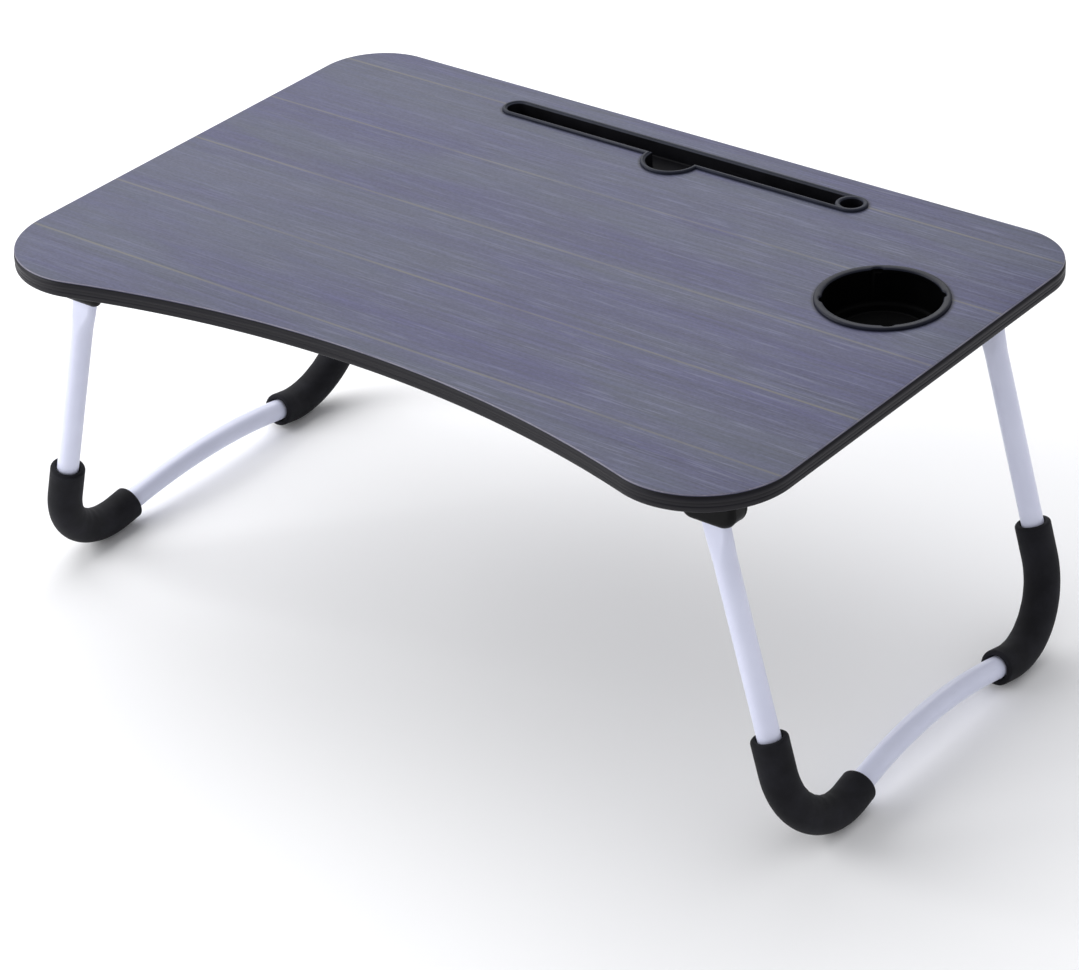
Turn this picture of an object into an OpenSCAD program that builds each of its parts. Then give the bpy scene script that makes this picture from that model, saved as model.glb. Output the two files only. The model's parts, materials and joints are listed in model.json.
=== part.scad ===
// Folding tray table: a moulded-edge laminate tray on two splayed tube frames that fold flat under it.
// Frame: origin on the floor under the middle of the table, +X to the right, +Y to the back, +Z up.
// The belly cut is on the -Y side, where the user sits, and the tablet slot is on the +Y side.

/* [Tray] */
// Length of the tray, left to right
tray_len = 600; // [560:5:660]
// Depth of the tray, front to back
tray_depth = 400; // [390:1:430]
// Height of the tray's top face above the floor, legs open
table_h = 265; // [250:1:270]
// Thickness of the tray with its laminates
tray_t = 12; // [11:0.5:14]
// Corner radius at the front
front_r = 61; // [50:1:70]
// Corner radius at the back
rear_r = 47; // [35:1:60]
// Radius of the belly cut in the front edge
belly_r = 772; // [650:2:1200]
// Thickness of the edge trim, seen from above
trim_t = 1.5; // [1.5:0.5:4]

/* [Tablet slot] */
// Overall length of the slot liner's flange
slot_len = 298; // [240:1:320]
// Overall width of the slot liner's flange
slot_w = 22; // [18:1:26]
// Distance of the slot's centre line behind the tray's centre
slot_y = 167; // [158:0.5:169]
// Outer radius of the thumb notch
notch_r = 21; // [16:1:24]
// Diameter of the pen hole
pen_d = 15; // [10:0.5:16]

/* [Cup holder] */
// Outer diameter of the cup holder's flange
cup_flange_d = 86; // [70:1:92]
// Inner diameter of the cup
cup_d = 77; // [60:1:80]
// Depth of the cup below the tray's top face
cup_depth = 24; // [16:1:30]
// Place of the cup to the right of the tray's centre
cup_x = 227; // [200:1:235]
// Place of the cup behind the tray's centre
cup_y = 68; // [30:0.5:90]

/* [Leg frames] */
// Distance of each fold axis from the tray's centre
hinge_x = 250; // [248:1:262]
// Drop of the fold axis below the tray's underside
hinge_drop = 14; // [14:0.5:18]
// Outward lean of an open leg frame, in degrees from vertical
splay = 14.5; // [10:0.5:18]
// Distance between the two upright tubes of one frame, centre to centre
leg_width = 300; // [260:2:310]
// Bend radius of the lower corners, on the tube's centre line
corner_r = 50; // [40:1:60]
// Radius of the raised arch between the corners, on the tube's centre line
arch_r = 390; // [300:10:600]
// Straight stretch between a lower corner and the arch
arch_run = 15; // [15:1:20]
// Outer diameter of the leg tube
tube_d = 15; // [14:0.5:16]
// Wall thickness of the leg tube
tube_wall = 1; // [0.8:0.1:1.5]

/* [Foot sleeves] */
// Outer diameter of a foam foot sleeve
sleeve_d = 24; // [22:0.5:26]
// Straight part of a sleeve above its bend
sleeve_up = 24; // [10:1:40]
// Straight part of a sleeve past its bend, towards the arch
sleeve_in = 12; // [6:1:14]

/* [Pivots] */
// Diameter of the pivot pins
pin_d = 5; // [4:0.5:6]
// Radial running clearance between a bush and its pin
run_gap = 0.05; // [0.02:0.01:0.1]

/* [Hidden] */
$fn = 64;
eps = 0.01;
over = 1;                                   // how far a cutter runs past a face

top_t = 0.8;                                // decorative laminate
back_t = 0.6;                               // backing laminate
core_t = tray_t - top_t - back_t;
tray_z = table_h - tray_t;                  // underside of the tray
core_z = tray_z + back_t;

half_len = tray_len / 2;
half_depth = tray_depth / 2;
arc_step = 3;                               // degrees between the points of an outline's arc
belly_step = 1;                             // and of the long belly arc

barb_t = 1.6;                               // the trim's barb, pressed into a groove round the core
barb_reach = 5;
barb_z = tray_z + tray_t / 2 - barb_t / 2;
barb_gap = 0.1;
trim_groove = 0.5;                          // the two shallow grooves round the trim's face
trim_groove_h = 0.9;
trim_groove_at = [0.3, 0.72];               // their heights, as fractions of the tray's thickness
trim_lip = 0.8;                             // chamfer round the trim's top and bottom edges

flange_h = 2;                               // the bezel of the slot liner and of the cup holder
bezel_w = 3.5;
notch_in = 1;                               // the notch's centre, inside the slot's front edge
liner_wall = 1.4;
liner_floor = 1.4;
liner_gap = 0.15;                           // clearance of the liner in its cut-out
pen_x = slot_len / 2 - slot_w / 2;          // the pen hole sits in the slot's right end
liner_z = tray_z + 0.4;                     // the liner stops just inside the tray's underside

cup_wall = 1.8;

hinge_z = tray_z - hinge_drop;
sleeve_r = sleeve_d / 2;
tube_r = tube_d / 2;
half_width = leg_width / 2;
corner_y = half_width - corner_r;           // centre of a lower bend
leg_len = (hinge_z - sleeve_r) / cos(splay);  // fold axis to the lowest point of the tube's centre line
bend_z = corner_r - leg_len;                // centre of a lower bend, below the fold axis
// the bar leaves a bend rising at arch_tilt, runs straight for arch_run and goes over into the arch
arch_tilt = asin(corner_y / norm([arch_r + corner_r, arch_run])) - atan2(arch_run, arch_r + corner_r);
arch_z = bend_z - (arch_r + corner_r) * cos(arch_tilt) + arch_run * sin(arch_tilt);

pipe_sides = 20;                            // a multiple of 4, so that flats lie square to the section
bend_steps = 11;
arch_steps = 5;
flare_steps = 6;
end_levels = [8.4, 7, 5, 3, 0];             // stations round a tube's rounded end, above the fold axis
sleeve_lip = 2.5;                           // rounding of a sleeve's two ends

flat_w = 19;                                // the flattened upper end of a tube
flat_t = 8;
flat_len = 22;
flare_len = 22;                             // from the flat end back to the round tube
tube_eye_r = 4;

cheek_gap = 9.8;                            // between a bracket's two cheeks
bracket_w = 18;
cheek_drop = 16;                            // of a cheek's level lower edge below the fold axis
nose_r = 11;                                // of a cheek's outboard lower corner
heel_r = 8;                                 // of its inboard lower corner
heel_in = 8;                                // from the fold axis in to the heel's centre
heel_angle = 215;                           // where a cheek's slanting inboard side meets its heel
cheek_inset = 3;                            // of a cheek's root from the ends of the base
stop_gap = 0.3;                             // kept between an open leg and its stop
swing_r = flat_w / 2 + 0.7;                 // the space a tube's rounded end turns in
swing_reach = 60;
base_t = 3;
base_in = 33;                               // reach of the bracket's base towards the table's middle
base_out = 26;
base_w = 42;
base_r = 6;

pin_r = pin_d / 2;
pin_head_r = 4;
pin_head_t = 1.2;
bush_r = tube_eye_r;
bush_flange_r = 6.5;
bush_flange_t = 0.6;

screw_r = 1.6;
screw_head_r = 3.2;
screw_head_t = 1.6;
screw_len = 10;
screw_tip = 2;
screw_tip_r = 0.3;
screw_in = -26;
screw_out = 19;
screw_y = 15.5;

SIDES = [["left", -1], ["right", 1]];

// ---- outlines ----

// Points of an arc from angle a to angle b, in steps of about step degrees
function arc(cx, cy, r, a, b, step = arc_step) =
    let (n = max(2, ceil(abs(b - a) / step)))
    [for (i = [0 : n]) let (t = a + (b - a) * i / n) [cx + r * cos(t), cy + r * sin(t)]];

// The tray's outline, drawn in by inset: four round corners and one concave belly arc,
// which touches the two front corner arcs without a straight stretch between
function tray_outline(inset) =
    let (
        run = half_len - front_r,
        turn = asin(run / (belly_r + front_r)),
        front_y = front_r - half_depth,
        belly_y = front_y - (belly_r + front_r) * cos(turn),
        fr = front_r - inset,
        rr = rear_r - inset,
        br = belly_r + inset,
        rear_y = half_depth - rear_r
    )
    concat(
        arc(half_len - front_r, front_y, fr, -90 - turn, 0),
        arc(half_len - rear_r, rear_y, rr, 0, 90),
        arc(rear_r - half_len, rear_y, rr, 90, 180),
        arc(front_r - half_len, front_y, fr, 180, 270 + turn),
        arc(0, belly_y, br, 90 + turn - belly_step / 2, 90 - turn + belly_step / 2, belly_step)
    );

// The slot's outline, drawn out by grow: a long slot with round ends, and a round thumb notch in front
function slot_outline(grow) =
    let (
        r = slot_w / 2 + grow,
        nr = notch_r + grow,
        end_x = slot_len / 2 - slot_w / 2,
        notch_y = slot_y - slot_w / 2 + notch_in,
        dip = notch_y - (slot_y - r),
        cut = asin(dip / nr)
    )
    concat(
        arc(end_x, slot_y, r, -90, 90),
        arc(-end_x, slot_y, r, 90, 270),
        arc(0, notch_y, nr, 180 + cut, 360 - cut)
    );

module plate(points, z, t) {
    translate([0, 0, z]) linear_extrude(t) polygon(points);
}

module tray_ring(outer, inner, z, t) {
    translate([0, 0, z]) linear_extrude(t) difference() {
        polygon(tray_outline(outer));
        polygon(tray_outline(inner));
    }
}

// ---- places of the four pivots ----

// Draws its children at one pivot, with +X outboard and the fold axis along Y
module at_pivot(side, front) {
    translate([side * hinge_x, front ? -half_width : half_width, hinge_z])
        mirror([side < 0 ? 1 : 0, 0, 0]) children();
}

// Draws a leg frame's children, which hang straight down from the fold axis, at their open lean
module leg_frame(side) {
    mirror([side < 0 ? 1 : 0, 0, 0]) translate([hinge_x, 0, hinge_z]) rotate([0, -splay, 0]) children();
}

// ---- tray ----

module cutouts(z, t, gap) {
    plate(slot_outline(gap - bezel_w + liner_wall), z, t);
    translate([cup_x, cup_y, z]) cylinder(h = t, r = cup_d / 2 + cup_wall + gap, $fn = 128);
}

module screw_places() {
    for (s = [-1, 1], front = [true, false]) at_pivot(s, front)
        for (x = [screw_in, screw_out], y = [-screw_y, screw_y]) translate([x, y, hinge_drop]) children();
}

module tray_core() {
    color([0.72, 0.62, 0.48]) difference() {
        plate(tray_outline(trim_t), core_z, core_t);
        cutouts(core_z - over, core_t + 2 * over, liner_gap);
        tray_ring(trim_t - over, trim_t + barb_reach + barb_gap, barb_z - barb_gap, barb_t + 2 * barb_gap);
        screw_places() translate([0, 0, back_t - over])
            cylinder(h = screw_len - base_t - back_t + over, r = screw_r);
    }
}

module top_laminate() {
    color([0.40, 0.41, 0.47]) difference() {
        plate(tray_outline(trim_t), table_h - top_t, top_t);
        cutouts(table_h - top_t - over, top_t + 2 * over, liner_gap);
    }
}

module bottom_laminate() {
    color([0.30, 0.30, 0.32]) difference() {
        plate(tray_outline(trim_t), tray_z, back_t);
        cutouts(tray_z - over, back_t + 2 * over, liner_gap);
        screw_places() translate([0, 0, -over]) cylinder(h = back_t + 2 * over, r = screw_r);
    }
}

module edge_trim() {
    color([0.17, 0.17, 0.19]) difference() {
        union() {
            tray_ring(trim_lip, trim_t, tray_z, trim_lip);
            tray_ring(0, trim_t, tray_z + trim_lip, tray_t - 2 * trim_lip);
            tray_ring(trim_lip, trim_t, tray_z + tray_t - trim_lip, trim_lip);
            tray_ring(trim_t - eps, trim_t + barb_reach, barb_z, barb_t);
        }
        for (part = trim_groove_at)
            tray_ring(-over, trim_groove, tray_z + tray_t * part, trim_groove_h);
    }
}

module slot_liner() {
    inner = -bezel_w;
    color([0.13, 0.13, 0.14]) difference() {
        union() {
            plate(slot_outline(0), table_h, flange_h);
            plate(slot_outline(inner + liner_wall), liner_z, table_h - liner_z + eps);
        }
        difference() {
            plate(slot_outline(inner), liner_z + liner_floor, tray_t + flange_h + over);
            // a ring round the pen hole closes the slot's right end
            translate([pen_x, slot_y, liner_z]) cylinder(h = tray_t + flange_h, r = slot_w / 2);
        }
        translate([pen_x, slot_y, liner_z + liner_floor]) cylinder(h = tray_t + flange_h + over, d = pen_d);
    }
}

module cup_holder() {
    inner_r = cup_d / 2;
    outer_r = inner_r + cup_wall;
    floor_z = table_h - cup_depth;
    lip = 1;
    color([0.08, 0.08, 0.09]) translate([cup_x, cup_y, 0]) rotate_extrude($fn = 128) polygon([
        [0, floor_z - cup_wall],
        [outer_r - lip, floor_z - cup_wall],
        [outer_r, floor_z - cup_wall + lip],
        [outer_r, table_h],
        [cup_flange_d / 2, table_h],
        [cup_flange_d / 2, table_h + flange_h - lip],
        [cup_flange_d / 2 - lip, table_h + flange_h],
        [inner_r + lip, table_h + flange_h],
        [inner_r, table_h + flange_h - lip],
        [inner_r, floor_z],
        [0, floor_z]
    ]);
}

// ---- brackets, pins and screws ----

// Extrudes a shape of the XZ plane along Y, by w to each side of the XZ plane
module along_y(w) {
    rotate([90, 0, 0]) translate([0, 0, -w]) linear_extrude(2 * w) children();
}

module round_rect(x0, x1, w, r) {
    translate([x0 + r, -w / 2]) square([x1 - x0 - 2 * r, w]);
    translate([x0, r - w / 2]) square([x1 - x0, w - 2 * r]);
    for (x = [x0 + r, x1 - r], y = [r - w / 2, w / 2 - r]) translate([x, y]) circle(r);
}

// The space that the tube's flat end sweeps, from its open lean inwards to flat under the tray
module swing_space() {
    face = flat_w / 2 + stop_gap;
    circle(swing_r);
    polygon([
        [0, 0],
        [face * cos(splay), face * sin(splay)],
        [face * cos(splay) + swing_reach * sin(splay), face * sin(splay) - swing_reach * cos(splay)],
        [-swing_reach, -swing_reach],
        [-swing_reach, swing_r],
        [0, swing_r]
    ]);
}

module bracket(side, front) {
    skirt_z = hinge_drop - base_t;
    cheek_out = base_out - cheek_inset;
    color([0.09, 0.09, 0.10]) at_pivot(side, front) difference() {
        union() {
            translate([0, 0, skirt_z]) linear_extrude(base_t) round_rect(-base_in, base_out, base_w, base_r);
            along_y(bracket_w / 2) polygon(concat(
                arc(-heel_in, heel_r - cheek_drop, heel_r, heel_angle, 270),
                arc(cheek_out - nose_r, nose_r - cheek_drop, nose_r, 270, 360),
                [[cheek_out, skirt_z + eps], [cheek_inset - base_in, skirt_z + eps]]
            ));
        }
        along_y(cheek_gap / 2) swing_space();
        along_y(bracket_w) circle(pin_r);
        for (x = [screw_in, screw_out], y = [-screw_y, screw_y]) translate([x, y, skirt_z - over]) {
            cylinder(h = base_t + 2 * over, r = screw_r);
            cylinder(h = over + eps, r = screw_head_r);
            translate([0, 0, over]) cylinder(h = screw_head_t, r1 = screw_head_r, r2 = screw_r);
        }
    }
}

module pivot_pin(side, front) {
    color([0.75, 0.75, 0.77]) at_pivot(side, front) rotate([90, 0, 0]) {
        cylinder(h = bracket_w, r = pin_r, center = true);
        for (end = [-1, 1]) translate([0, 0, end * (bracket_w + pin_head_t) / 2])
            cylinder(h = pin_head_t, r = pin_head_r, center = true);
    }
}

module bracket_screws() {
    color([0.65, 0.65, 0.67]) screw_places() translate([0, 0, -base_t]) {
        cylinder(h = screw_head_t, r1 = screw_head_r, r2 = screw_r);
        cylinder(h = screw_len - screw_tip, r = screw_r);
        translate([0, 0, screw_len - screw_tip]) cylinder(h = screw_tip, r1 = screw_r, r2 = screw_tip_r);
    }
}

// ---- leg frames: each hangs straight down from the fold axis in its own frame ----
// A pipe is swept through stations. A station is its centre's Y and Z, the direction of the bend's
// outside measured from +Y, and the half-width along X and half-thickness across it.

// Corners of a pipe's section: a circle where a = b, otherwise two flats joined by round edges
function section(a, b) = [
    for (i = [0 : pipe_sides - 1]) let (t = 360 * i / pipe_sides)
        [b * cos(t) + (a - b) * (abs(cos(t)) < eps ? 0 : sign(cos(t))), b * sin(t)]
];

function station_ring(s) = [
    for (p = section(s[3], s[4])) [p[0], s[0] + p[1] * cos(s[2]), s[1] + p[1] * sin(s[2])]
];

function resized(stations, a, b) = [for (s = stations) [s[0], s[1], s[2], a, b]];
function thinned(stations, wall) = [for (s = stations) [s[0], s[1], s[2], s[3] - wall, s[4] - wall]];

// The same stations on the -Y side, in reverse order
function mirrored(stations) = [
    for (i = [len(stations) - 1 : -1 : 0]) let (s = stations[i]) [-s[0], s[1], -180 - s[2], s[3], s[4]]
];

function bend_stations(r) = [
    for (i = [0 : bend_steps]) let (t = (90 + arch_tilt) * i / bend_steps)
        [corner_y + corner_r * cos(t), bend_z - corner_r * sin(t), -t, r, r]
];

// The point of the bar at a distance past the bend, on the straight stretch
function bar_station(along, r) = [
    corner_y - corner_r * sin(arch_tilt) - along * cos(arch_tilt),
    bend_z - corner_r * cos(arch_tilt) + along * sin(arch_tilt),
    -90 - arch_tilt, r, r
];

function arch_stations(r) = [
    for (i = [-arch_steps : arch_steps]) let (t = -arch_tilt * i / arch_steps)
        [arch_r * sin(t), arch_z + arch_r * cos(t), -90 - t, r, r]
];

// The rounded and flattened upper end, and the flare down to the round tube
function end_stations() = concat(
    [for (z = end_levels) [half_width, z, 0, sqrt(pow(flat_w / 2, 2) - z * z), flat_t / 2]],
    [for (i = [0 : flare_steps]) let (t = i / flare_steps, k = t * t * (3 - 2 * t))
        [half_width, -flat_len - flare_len * t, 0,
         flat_w / 2 + (tube_r - flat_w / 2) * k, flat_t / 2 + (tube_r - flat_t / 2) * k]]
);

// A hollow pipe between two lists of stations, one for its outer wall and one for its inner wall
module pipe(outer, inner) {
    n = pipe_sides;
    rings = len(outer);
    m = rings * n;
    walls = [for (k = [0, 1], j = [0 : rings - 2], i = [0 : n - 1])
        let (a = k * m + j * n + i, b = k * m + j * n + (i + 1) % n)
            k == 0 ? [a, b, b + n, a + n] : [a + n, b + n, b, a]];
    ends = [for (j = [0, rings - 1], i = [0 : n - 1])
        let (a = j * n + i, b = j * n + (i + 1) % n)
            j == 0 ? [a, a + m, b + m, b] : [b, b + m, a + m, a]];
    quads = concat(walls, ends);
    polyhedron(
        points = concat([for (s = outer) each station_ring(s)], [for (s = inner) each station_ring(s)]),
        faces = [for (q = quads) each [[q[0], q[1], q[2]], [q[0], q[2], q[3]]]]
    );
}

module leg_tube(side) {
    half = concat(end_stations(), bend_stations(tube_r));
    stations = concat(half, arch_stations(tube_r), mirrored(half));
    color([0.87, 0.88, 0.94]) leg_frame(side) difference() {
        pipe(stations, thinned(stations, tube_wall));
        along_y(leg_width) circle(tube_eye_r);
    }
}

module pivot_bush(side, front) {
    color([0.80, 0.80, 0.78]) leg_frame(side)
        translate([0, front ? -half_width : half_width, 0]) rotate([90, 0, 0]) difference() {
            union() {
                cylinder(h = flat_t, r = bush_r, center = true);
                for (end = [-1, 1]) translate([0, 0, end * (flat_t + bush_flange_t) / 2])
                    cylinder(h = bush_flange_t, r = bush_flange_r, center = true);
            }
            cylinder(h = 2 * flat_t, r = pin_r + run_gap, center = true);
        }
}

module foot_sleeve(side, front) {
    lip = [for (t = [0, 30, 60, 90]) [sleeve_lip * (1 - sin(t)), sleeve_lip * (1 - cos(t))]];
    upper = [for (p = lip) [half_width, bend_z + sleeve_up - p[1], 0, sleeve_r - p[0], sleeve_r - p[0]]];
    lower = [for (i = [len(lip) - 1 : -1 : 0]) bar_station(sleeve_in - lip[i][1], sleeve_r - lip[i][0])];
    stations = concat(upper, bend_stations(sleeve_r), lower);
    color([0.11, 0.11, 0.12]) leg_frame(side) mirror([0, front ? 1 : 0, 0])
        pipe(stations, resized(stations, tube_r, tube_r));
}

// ---- the assembly ----

tray_core();
top_laminate();
bottom_laminate();
edge_trim();
slot_liner();
cup_holder();
bracket_screws();
for (side = SIDES) {
    name = side[0];
    s = side[1];
    leg_tube(s);
    for (end = [["front", true], ["rear", false]]) {
        place = str(end[0], "_", name);
        bracket(s, end[1]);
        pivot_pin(s, end[1]);
        pivot_bush(s, end[1]);
        foot_sleeve(s, end[1]);
    }
}
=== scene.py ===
"""A folding tray table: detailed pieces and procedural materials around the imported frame."""
import json
import math

import bmesh
import bpy
from mathutils import Matrix, Vector


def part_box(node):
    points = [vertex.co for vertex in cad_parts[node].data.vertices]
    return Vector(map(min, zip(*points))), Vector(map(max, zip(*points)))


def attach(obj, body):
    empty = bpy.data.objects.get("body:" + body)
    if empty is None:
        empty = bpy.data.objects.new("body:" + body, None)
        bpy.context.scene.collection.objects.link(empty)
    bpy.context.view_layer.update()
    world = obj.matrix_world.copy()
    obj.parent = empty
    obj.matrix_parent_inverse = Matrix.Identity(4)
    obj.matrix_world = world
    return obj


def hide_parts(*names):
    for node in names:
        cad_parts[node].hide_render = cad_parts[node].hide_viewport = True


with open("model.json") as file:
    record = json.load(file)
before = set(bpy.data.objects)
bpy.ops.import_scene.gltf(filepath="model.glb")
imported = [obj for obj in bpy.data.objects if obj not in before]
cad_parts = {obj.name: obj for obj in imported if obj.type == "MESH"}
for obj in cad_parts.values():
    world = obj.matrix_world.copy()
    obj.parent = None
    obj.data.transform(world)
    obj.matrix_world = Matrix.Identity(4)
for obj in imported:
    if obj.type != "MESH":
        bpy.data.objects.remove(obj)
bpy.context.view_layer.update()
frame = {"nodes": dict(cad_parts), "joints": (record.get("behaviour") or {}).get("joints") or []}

MM = 0.001
SIDES = {"left": -1, "right": 1}
ENDS = ("front", "rear")

# ---- sizes of the tray, from the frame and from the design ----

tray_lo, tray_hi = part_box("edge_trim")
TOP = tray_hi.z
UNDER = tray_lo.z
HALF_LEN = (tray_hi.x - tray_lo.x) / 2
HALF_DEPTH = (tray_hi.y - tray_lo.y) / 2
FRONT_R = 61 * MM
REAR_R = 47 * MM
BELLY_R = 772 * MM

slot_lo, slot_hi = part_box("slot_liner")
SLOT_W = 22 * MM
SLOT_Y = slot_hi.y - SLOT_W / 2
SLOT_END = slot_hi.x - SLOT_W / 2            # centre of the slot's round ends, and of the pen hole
NOTCH_IN = 1 * MM                            # the notch's centre, inside the slot's front edge
NOTCH_Y = SLOT_Y - SLOT_W / 2 + NOTCH_IN
NOTCH_R = NOTCH_Y - slot_lo.y
PEN_R = 7.5 * MM
LINER_FLOOR = slot_lo.z + 1.4 * MM           # on a bottom 1.4 mm thick

cup_lo, cup_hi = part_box("cup_holder")
CUP = (cup_lo + cup_hi) / 2
CUP_FLANGE_R = (cup_hi.x - cup_lo.x) / 2
CUP_R = 38.5 * MM
CUP_WALL = 1.8 * MM
CUP_FLOOR = cup_lo.z + CUP_WALL

# ---- sizes of the brackets and leg frames ----

hinges = {j["child"]: j for j in frame["joints"]}
HINGE_X = hinges["right_leg"]["pos_m"][0]
HINGE_Z = hinges["right_leg"]["pos_m"][2]
SPLAY = math.radians(hinges["right_leg"]["range_deg"][1] - 90)
pin_lo, pin_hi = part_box("pivot_pin_rear_right")
HALF_WIDTH = (pin_lo.y + pin_hi.y) / 2       # half the distance between a frame's two uprights
TUBE_R = 7.5 * MM
SLEEVE_R = 12 * MM
CORNER_R = 50 * MM
ARCH_R = 390 * MM
ARCH_RUN = 15 * MM                           # the straight stretch between a bend and the arch
SLEEVE_UP = 24 * MM                          # how far a sleeve reaches past its bend, up the leg
SLEEVE_IN = 12 * MM                          # and along the lower bar
FLAT_A = 9.5 * MM                            # half the width of a flattened end
FLAT_B = 4 * MM                              # half its thickness
FLAT_LEN = 22 * MM
FLARE_LEN = 22 * MM
LEG_LEN = (HINGE_Z - SLEEVE_R) / math.cos(SPLAY)
BEND_Z = CORNER_R - LEG_LEN
CORNER_Y = HALF_WIDTH - CORNER_R
BOTH_R = ARCH_R + CORNER_R
ARCH_TILT = math.asin(CORNER_Y / math.hypot(BOTH_R, ARCH_RUN)) - math.atan2(ARCH_RUN, BOTH_R)
ARCH_Z = BEND_Z - BOTH_R * math.cos(ARCH_TILT) + ARCH_RUN * math.sin(ARCH_TILT)

CHEEK_GAP = 9.8 * MM
BRACKET_W = 18 * MM
CHEEK_DROP = 16 * MM                         # from the fold axis down to the bracket's lower edge
CHEEK_BACK = 3 * MM                          # how far a cheek stays inside its base, at each end
NOSE_R = 11 * MM
HEEL_R = 8 * MM
HEEL_IN = 8 * MM
BASE_IN = 33 * MM
BASE_OUT = 26 * MM
BASE_W = 42 * MM
BASE_R = 6 * MM
BASE_T = 3 * MM
SINK = 1 * MM                                # how far a piece reaches into the one that carries it
SCREW_PLACES = [(x * MM, y * MM) for x in (-26, 19) for y in (-15.5, 15.5)]


# ---- materials ----

def srgb(r, g, b):
    """The linear colour of an 8-bit screen colour."""
    return tuple(((c / 255 + 0.055) / 1.055) ** 2.4 for c in (r, g, b)) + (1.0,)


class Recipe:
    """A node material. Where an input's value is a socket, it is linked."""

    def __init__(self, name):
        self.material = bpy.data.materials.new(name)
        self.material.use_nodes = True
        self.tree = self.material.node_tree
        self.shader = self.tree.nodes["Principled BSDF"]
        self.place = self.add("ShaderNodeTexCoord").outputs["Object"]

    def feed(self, node, inputs):
        for key, value in inputs.items():
            if isinstance(value, bpy.types.NodeSocket):
                self.tree.links.new(value, node.inputs[key])
            else:
                node.inputs[key].default_value = value

    def add(self, kind, inputs=None, **settings):
        node = self.tree.nodes.new(kind)
        for key, value in settings.items():
            setattr(node, key, value)
        self.feed(node, inputs or {})
        return node

    def surface(self, **inputs):
        self.feed(self.shader, {key.replace("_", " "): value for key, value in inputs.items()})

    def scaled(self, scale, shift=(0, 0, 0)):
        inputs = {"Vector": self.place, "Scale": scale, "Location": shift}
        return self.add("ShaderNodeMapping", inputs).outputs[0]

    def noise(self, scale, detail=2.0, roughness=0.5, distortion=0.0, shift=(0, 0, 0)):
        inputs = {"Vector": self.scaled(scale, shift), "Scale": 1.0, "Detail": detail,
                  "Roughness": roughness, "Distortion": distortion}
        return self.add("ShaderNodeTexNoise", inputs).outputs[0]

    def cells(self, scale):
        inputs = {"Vector": self.scaled(scale), "Scale": 1.0}
        return self.add("ShaderNodeTexVoronoi", inputs).outputs["Distance"]

    def math(self, operation, a, b=0.0):
        return self.add("ShaderNodeMath", {0: a, 1: b}, operation=operation).outputs[0]

    def remap(self, value, low, high, to_low, to_high, smooth=False):
        inputs = {"Value": value, "From Min": low, "From Max": high,
                  "To Min": to_low, "To Max": to_high}
        node = self.add("ShaderNodeMapRange", inputs)
        if smooth:
            node.interpolation_type = "SMOOTHSTEP"
        return node.outputs[0]

    def mix(self, factor, a, b, blend="MIX"):
        node = self.add("ShaderNodeMix", data_type="RGBA", blend_type=blend)
        self.feed(node, {0: factor, 6: a, 7: b})
        return node.outputs[2]

    def bump(self, height, strength, distance, normal=None):
        inputs = {"Height": height, "Strength": strength, "Distance": distance}
        if normal is not None:
            inputs["Normal"] = normal
        return self.add("ShaderNodeBump", inputs).outputs[0]


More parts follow.
